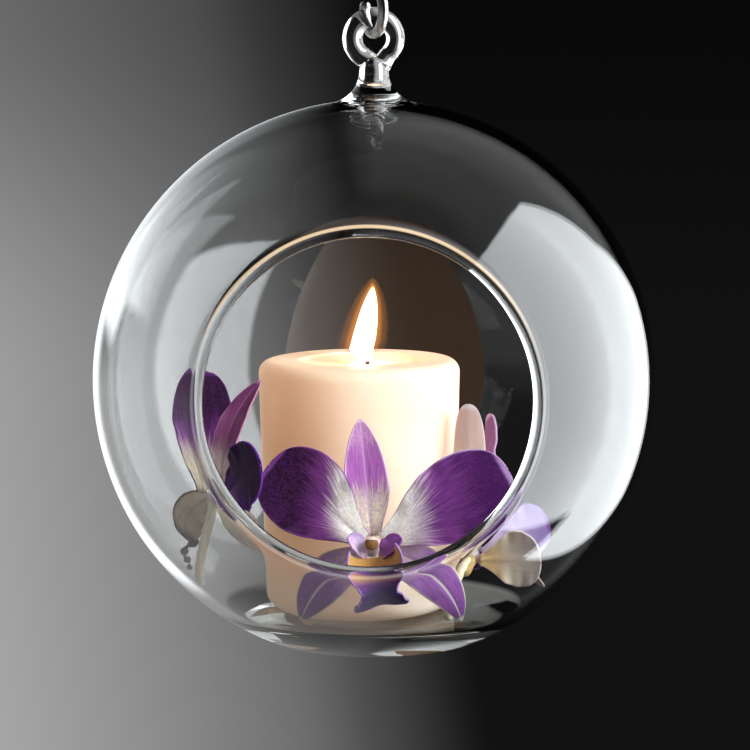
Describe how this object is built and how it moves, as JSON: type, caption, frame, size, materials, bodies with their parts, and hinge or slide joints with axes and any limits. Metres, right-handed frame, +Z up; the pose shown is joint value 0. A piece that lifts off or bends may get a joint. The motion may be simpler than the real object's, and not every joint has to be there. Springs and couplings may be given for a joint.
{
  "type": "hanging glass globe candle holder",
  "caption": "Hand-blown clear glass globe with a round side opening and a glass eye, on a steel S-hook, holding a lit pillar candle ringed by orchid blooms.",
  "frame": {"origin": "centre of the globe's flat foot", "axes": "+Z up through the candle holder's neck and eye, -Y out of the round opening, +X to the right as seen from the opening's side"},
  "size_m": [0.15, 0.1375, 0.2062],
  "materials": {
    "clear_glass": "clear, fire-polished",
    "bright_steel": "bright drawn wire",
    "ivory_wax": "smooth wax",
    "charred_cotton": "charred cotton braid",
    "cream_stem": "waxy plant skin",
    "mauve_sepal": "velvety petal",
    "purple_petal": "velvety petal",
    "cream_sepal": "velvety petal",
    "violet_lip": "velvety petal"
  },
  "bodies": {
    "root": {"glass_globe": "clear_glass", "steel_hook": "bright_steel", "pillar_candle": "ivory_wax", "wick": "charred_cotton", "front_stem": "cream_stem", "front_dorsal_sepal": "mauve_sepal", "front_left_petal": "purple_petal", "front_right_petal": "purple_petal", "front_left_sepal": "mauve_sepal", "front_right_sepal": "mauve_sepal", "front_lip": "violet_lip", "left_stem": "cream_stem", "left_dorsal_sepal": "mauve_sepal", "left_left_petal": "purple_petal", "left_right_petal": "purple_petal", "left_left_sepal": "cream_sepal", "left_right_sepal": "cream_sepal", "left_lip": "violet_lip", "right_stem": "cream_stem", "right_dorsal_sepal": "cream_sepal", "right_left_petal": "purple_petal", "right_right_petal": "purple_petal", "right_left_sepal": "cream_sepal", "right_right_sepal": "cream_sepal", "right_lip": "violet_lip"}
  },
  "joints": []
}
